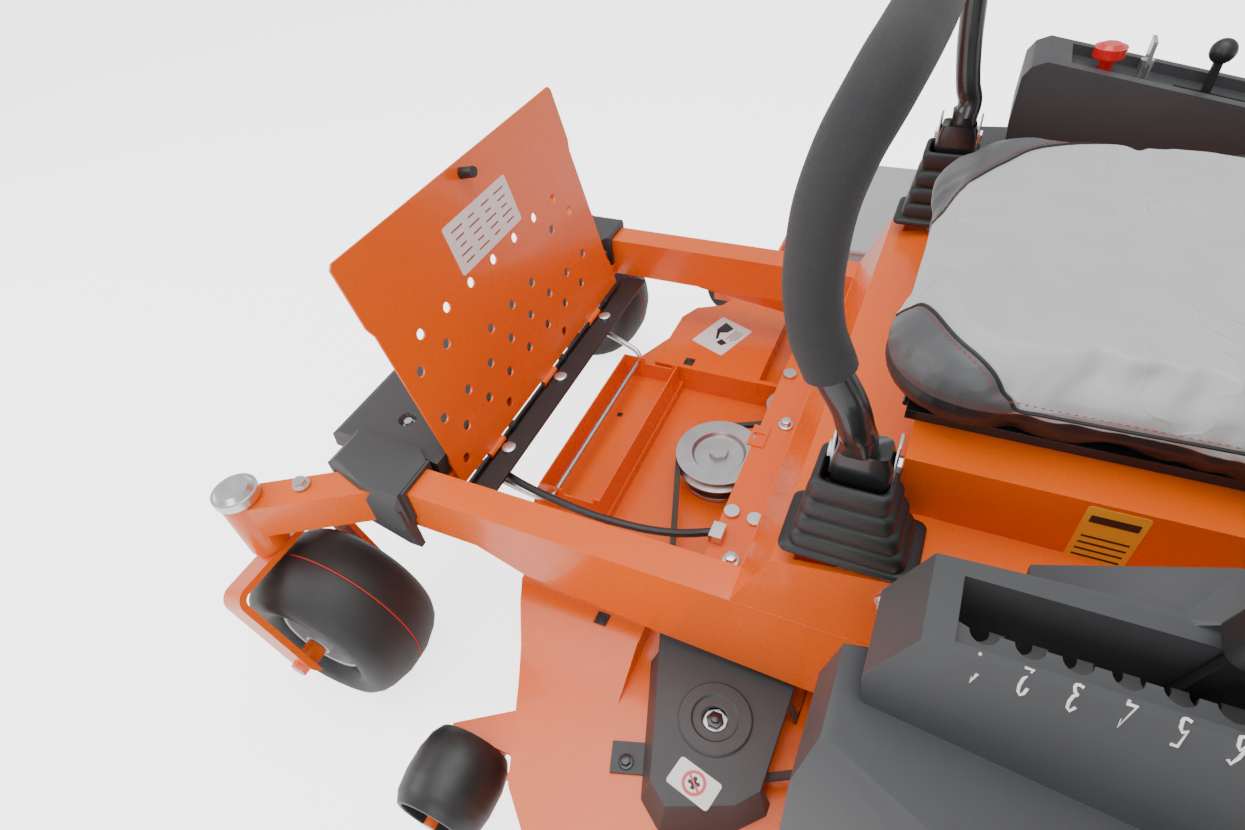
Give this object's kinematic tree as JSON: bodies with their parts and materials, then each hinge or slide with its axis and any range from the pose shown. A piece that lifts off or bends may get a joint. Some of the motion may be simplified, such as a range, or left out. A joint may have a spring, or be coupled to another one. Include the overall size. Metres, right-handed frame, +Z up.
{
  "type": "zero turn mower",
  "caption": "Ride-on zero turn mower with a mid-mounted cutting deck, caster front wheels, twin steering levers, a padded seat and a hinged floor pan tipped open.",
  "frame": {"origin": "middle of the footprint box, on the ground", "axes": "+X the operator's left, +Y to the rear, +Z up"},
  "size_m": [1.6381, 1.842, 1.07],
  "materials": {
    "orange_paint": "gloss",
    "black_paint": "gloss",
    "grey_plastic": "matte",
    "black_plastic": "matte",
    "black_rubber": "matte",
    "tyre": "matte",
    "rim_paint": "satin",
    "zinc": "satin",
    "steel": "satin",
    "grip_foam": "matte",
    "light_vinyl": "matte",
    "dark_vinyl": "matte",
    "red_plastic": "gloss",
    "belt_rubber": "matte",
    "cast_alloy": "matte",
    "pale_plastic": "matte",
    "white_label": "satin",
    "yellow_label": "satin",
    "red_thread": "matte"
  },
  "bodies": {
    "chassis": {"left_rail": "orange_paint", "right_rail": "orange_paint", "cross_members": "orange_paint", "seat_box": "orange_paint", "rear_frame": "orange_paint", "footrest": "grey_plastic", "hinge_strip": "black_plastic", "left_console": "grey_plastic", "right_console": "grey_plastic", "left_boot": "black_rubber", "right_boot": "black_rubber", "battery": "black_plastic", "fuel_tank": "black_plastic", "engine_block": "cast_alloy", "engine_shroud": "black_plastic", "muffler": "steel", "transaxles": "cast_alloy", "wiring_loom": "black_plastic", "frame_bolts": "zinc", "barrel_caps": "zinc"},
    "left_caster": {"left_fork": "orange_paint"},
    "right_caster": {"right_fork": "orange_paint"},
    "left_caster_wheel": {"left_caster_rim": "rim_paint", "left_caster_tyre": "tyre"},
    "right_caster_wheel": {"right_caster_rim": "rim_paint", "right_caster_tyre": "tyre"},
    "left_drive_wheel": {"left_drive_rim": "rim_paint", "left_drive_tyre": "tyre"},
    "right_drive_wheel": {"right_drive_rim": "rim_paint", "right_drive_tyre": "tyre"},
    "left_rocker": {"left_pivot": "steel"},
    "right_rocker": {"right_pivot": "steel"},
    "left_control": {"left_lever": "black_paint", "left_grip": "grip_foam"},
    "right_control": {"right_lever": "black_paint", "right_grip": "grip_foam"},
    "floor_pan": {"floor_pan": "orange_paint"},
    "pan_latch": {"pan_latch": "black_plastic"},
    "seat": {"seat_pan": "black_paint", "seat_cushion": "light_vinyl", "seat_back": "light_vinyl"},
    "deck": {"deck_shell": "orange_paint", "deck_tray": "orange_paint", "spindle_covers": "grey_plastic", "spindle_housings": "steel", "deck_belt": "belt_rubber"},
    "front_link": {"front_link": "zinc"},
    "lift_linkage": {"height_lever": "black_plastic", "lift_shaft": "steel"},
    "left_spindle": {"left_spindle": "steel"},
    "centre_spindle": {"centre_spindle": "steel"},
    "right_spindle": {"right_spindle": "steel"},
    "belt_idler": {"belt_idler": "steel"},
    "engine_pulley": {"engine_pulley": "steel"},
    "discharge_chute": {"discharge_chute": "pale_plastic"},
    "scalp_rollers": {"scalp_rollers": "black_plastic"},
    "blade_switch": {"blade_switch": "red_plastic"},
    "ignition_key": {"ignition_key": "zinc"},
    "throttle_lever": {"throttle_lever": "black_plastic"},
    "fuel_cap": {"fuel_cap": "black_plastic"}
  },
  "joints": [
    {"name": "left_caster_swivel", "type": "hinge", "parent": "chassis", "child": "left_caster", "pos_m": [0.6, -0.848, 0], "axis": [0, 0, 1], "continuous": true},
    {"name": "right_caster_swivel", "type": "hinge", "parent": "chassis", "child": "right_caster", "pos_m": [-0.272, -0.848, 0], "axis": [0, 0, 1], "continuous": true},
    {"name": "left_caster_spin", "type": "hinge", "parent": "left_caster", "child": "left_caster_wheel", "pos_m": [0.6, -0.781, 0.14], "axis": [1, 0, 0], "continuous": true},
    {"name": "right_caster_spin", "type": "hinge", "parent": "right_caster", "child": "right_caster_wheel", "pos_m": [-0.272, -0.781, 0.14], "axis": [1, 0, 0], "continuous": true},
    {"name": "left_drive_spin", "type": "hinge", "parent": "chassis", "child": "left_drive_wheel", "pos_m": [0.694, 0.401, 0.2285], "axis": [1, 0, 0], "continuous": true},
    {"name": "right_drive_spin", "type": "hinge", "parent": "chassis", "child": "right_drive_wheel", "pos_m": [-0.366, 0.401, 0.2285], "axis": [1, 0, 0], "continuous": true},
    {"name": "left_lever_stroke", "type": "hinge", "parent": "chassis", "child": "left_rocker", "pos_m": [0.482, -0.071, 0.48], "axis": [1, 0, 0], "range_deg": [-12, 15], "stiffness_Nm_per_rad": 80, "deforming": ["left_boot"]},
    {"name": "right_lever_stroke", "type": "hinge", "parent": "chassis", "child": "right_rocker", "pos_m": [-0.154, -0.071, 0.48], "axis": [1, 0, 0], "range_deg": [-12, 15], "stiffness_Nm_per_rad": 80, "deforming": ["right_boot"]},
    {"name": "left_lever_swing", "type": "hinge", "parent": "left_rocker", "child": "left_control", "pos_m": [0.482, -0.071, 0.64], "axis": [0, 1, 0], "range_deg": [0, 28]},
    {"name": "right_lever_swing", "type": "hinge", "parent": "right_rocker", "child": "right_control", "pos_m": [-0.154, -0.071, 0.64], "axis": [0, -1, 0], "range_deg": [0, 28]},
    {"name": "pan_tip", "type": "hinge", "parent": "chassis", "child": "floor_pan", "pos_m": [0.164, -0.608, 0.32], "axis": [1, 0, 0], "range_deg": [-102.3, 0]},
    {"name": "pan_latch_turn", "type": "hinge", "parent": "floor_pan", "child": "pan_latch", "pos_m": [0.166, -0.68427, 0.66978], "axis": [0, -0.977, -0.213], "range_deg": [0, 90]},
    {"name": "seat_tilt", "type": "hinge", "parent": "chassis", "child": "seat", "pos_m": [0.164, -0.051, 0.591], "axis": [1, 0, 0], "range_deg": [0, 40]},
    {"name": "deck_lift", "type": "slide", "parent": "chassis", "child": "deck", "axis": [0, 0, 1], "range_m": [-0.0765, 0], "deforming": ["deck_belt"]},
    {"name": "height_lever_stroke", "type": "hinge", "parent": "chassis", "child": "lift_linkage", "pos_m": [0.164, 0.105, 0.29], "axis": [1, 0, 0], "range_deg": [0, 23]},
    {"name": "front_link_swing", "type": "hinge", "parent": "deck", "child": "front_link", "pos_m": [0.164, -0.529, 0.228], "axis": [1, 0, 0], "range_deg": [-31.5, 0]},
    {"name": "left_spindle_spin", "type": "hinge", "parent": "deck", "child": "left_spindle", "pos_m": [0.582, -0.174, 0], "axis": [0, 0, 1], "continuous": true},
    {"name": "centre_spindle_spin", "type": "hinge", "parent": "deck", "child": "centre_spindle", "pos_m": [0.164, -0.313, 0], "axis": [0, 0, 1], "continuous": true},
    {"name": "right_spindle_spin", "type": "hinge", "parent": "deck", "child": "right_spindle", "pos_m": [-0.254, -0.174, 0], "axis": [0, 0, 1], "continuous": true},
    {"name": "belt_idler_spin", "type": "hinge", "parent": "deck", "child": "belt_idler", "pos_m": [0.022, -0.239, 0], "axis": [0, 0, 1], "continuous": true},
    {"name": "engine_pulley_spin", "type": "hinge", "parent": "chassis", "child": "engine_pulley", "pos_m": [0.164, 0.591, 0], "axis": [0, 0, 1], "continuous": true},
    {"name": "chute_flap", "type": "hinge", "parent": "deck", "child": "discharge_chute", "pos_m": [-0.498, -0.189, 0.214], "axis": [0, 1, 0], "range_deg": [0, 70]},
    {"name": "scalp_roller_spin", "type": "hinge", "parent": "deck", "child": "scalp_rollers", "pos_m": [0.164, -0.472, 0.142], "axis": [1, 0, 0], "continuous": true},
    {"name": "blade_switch_pull", "type": "slide", "parent": "chassis", "child": "blade_switch", "axis": [0, 0, 1], "range_m": [0, 0.015]},
    {"name": "ignition_turn", "type": "hinge", "parent": "chassis", "child": "ignition_key", "pos_m": [-0.261, 0.134, 0], "axis": [0, 0, 1], "range_deg": [0, 90]},
    {"name": "throttle_stroke", "type": "hinge", "parent": "chassis", "child": "throttle_lever", "pos_m": [-0.265, 0.212, 0.606], "axis": [1, 0, 0], "range_deg": [-15, 15]},
    {"name": "fuel_cap_turn", "type": "hinge", "parent": "chassis", "child": "fuel_cap", "pos_m": [0.619, 0.511, 0], "axis": [0, 0, 1], "continuous": true}
  ],
  "couplings": [
    {"joint": "height_lever_stroke", "follows": "deck_lift", "rad_per_m": -5.21},
    {"joint": "front_link_swing", "follows": "deck_lift", "rad_per_m": 7.12},
    {"joint": "left_spindle_spin", "follows": "centre_spindle_spin", "ratio": 1},
    {"joint": "right_spindle_spin", "follows": "centre_spindle_spin", "ratio": 1},
    {"joint": "belt_idler_spin", "follows": "centre_spindle_spin", "ratio": -2},
    {"joint": "engine_pulley_spin", "follows": "centre_spindle_spin", "ratio": 1}
  ]
}
